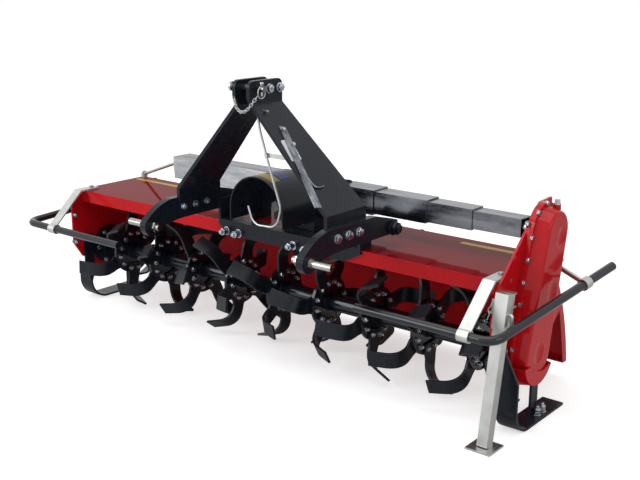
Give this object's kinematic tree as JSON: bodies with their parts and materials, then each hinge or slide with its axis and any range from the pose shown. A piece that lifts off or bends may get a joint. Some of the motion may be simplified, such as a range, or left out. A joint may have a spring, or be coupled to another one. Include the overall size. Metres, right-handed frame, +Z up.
{
  "type": "rotary tiller",
  "caption": "Three-point hitch rotary tiller with a side chain drive, curved tines on a flanged rotor, trailing board, side guards, skids and a parking leg.",
  "frame": {"origin": "on the floor, half-way between the side plates and half-way between the lower hitch eyes and the foot of the trailing board", "axes": "+X across the machine towards the chain case, +Y towards the rear, +Z up"},
  "size_m": [2.1968, 0.838, 0.979],
  "materials": {
    "red_paint": "gloss",
    "black_paint": "satin",
    "tine_steel": "satin",
    "galvanised": "galvanised",
    "zinc_plate": "zinc plated",
    "bright_steel": "machined"
  },
  "bodies": {
    "frame": {"bearing_cap_left": "black_paint", "board_hinge_rod": "zinc_plate", "case_filler_plug": "zinc_plate", "chain_case_base": "red_paint", "chain_case_cover": "red_paint", "cover_brace": "zinc_plate", "drive_shaft": "bright_steel", "gearbox": "black_paint", "guard_bar_left": "black_paint", "guard_bar_right": "black_paint", "guard_strap_left": "zinc_plate", "guard_strap_right": "zinc_plate", "guard_strut_left": "zinc_plate", "guard_strut_right": "zinc_plate", "hitch_cross_rod": "black_paint", "hitch_front_beam": "black_paint", "hood_deck": "red_paint", "hook_clip": "galvanised", "hook_strip": "galvanised", "leg_pin": "zinc_plate", "leg_sleeve": "zinc_plate", "lower_arm_left": "black_paint", "lower_arm_right": "black_paint", "lower_pin_left": "bright_steel", "lower_pin_right": "bright_steel", "mast_plate_left": "black_paint", "mast_plate_right": "black_paint", "mast_spacer": "black_paint", "pto_guard": "black_paint", "rod_saddle_left": "black_paint", "rod_saddle_right": "black_paint", "rotor_bearing_left": "black_paint", "rotor_bearing_right": "black_paint", "shaft_cover_left": "galvanised", "shaft_cover_right_1": "galvanised", "shaft_cover_right_2": "galvanised", "shaft_cover_right_3": "galvanised", "shaft_cover_right_4": "galvanised", "shaft_hook": "zinc_plate", "side_plate_left": "red_paint", "side_plate_right": "red_paint", "skid_left": "black_paint", "skid_post_left": "black_paint", "skid_post_right": "black_paint", "skid_right": "black_paint", "stone_guard": "red_paint", "top_link_pin": "bright_steel"},
    "rotor": {"rotor_tube": "black_paint", "tines_left_hand": "tine_steel", "tines_right_hand": "tine_steel"},
    "pto": {"pto_shaft": "bright_steel"},
    "board": {"trailing_board": "red_paint"},
    "leg": {"leg_tube": "zinc_plate"}
  },
  "joints": [
    {"name": "rotor_spin", "type": "hinge", "parent": "frame", "child": "rotor", "pos_m": [0, 0.038, 0.215], "axis": [1, 0, 0], "continuous": true},
    {"name": "pto_spin", "type": "hinge", "parent": "frame", "child": "pto", "pos_m": [0.138, -0.144, 0.565], "axis": [0, -1, 0], "continuous": true},
    {"name": "board_lift", "type": "hinge", "parent": "frame", "child": "board", "pos_m": [0, 0.257, 0.448], "axis": [1, 0, 0], "range_deg": [0, 45]},
    {"name": "leg_slide", "type": "slide", "parent": "frame", "child": "leg", "axis": [0, 0.1736, 0.9848], "range_m": [0, 0.19]}
  ],
  "couplings": [
    {"joint": "pto_spin", "follows": "rotor_spin", "ratio": 2.4}
  ]
}
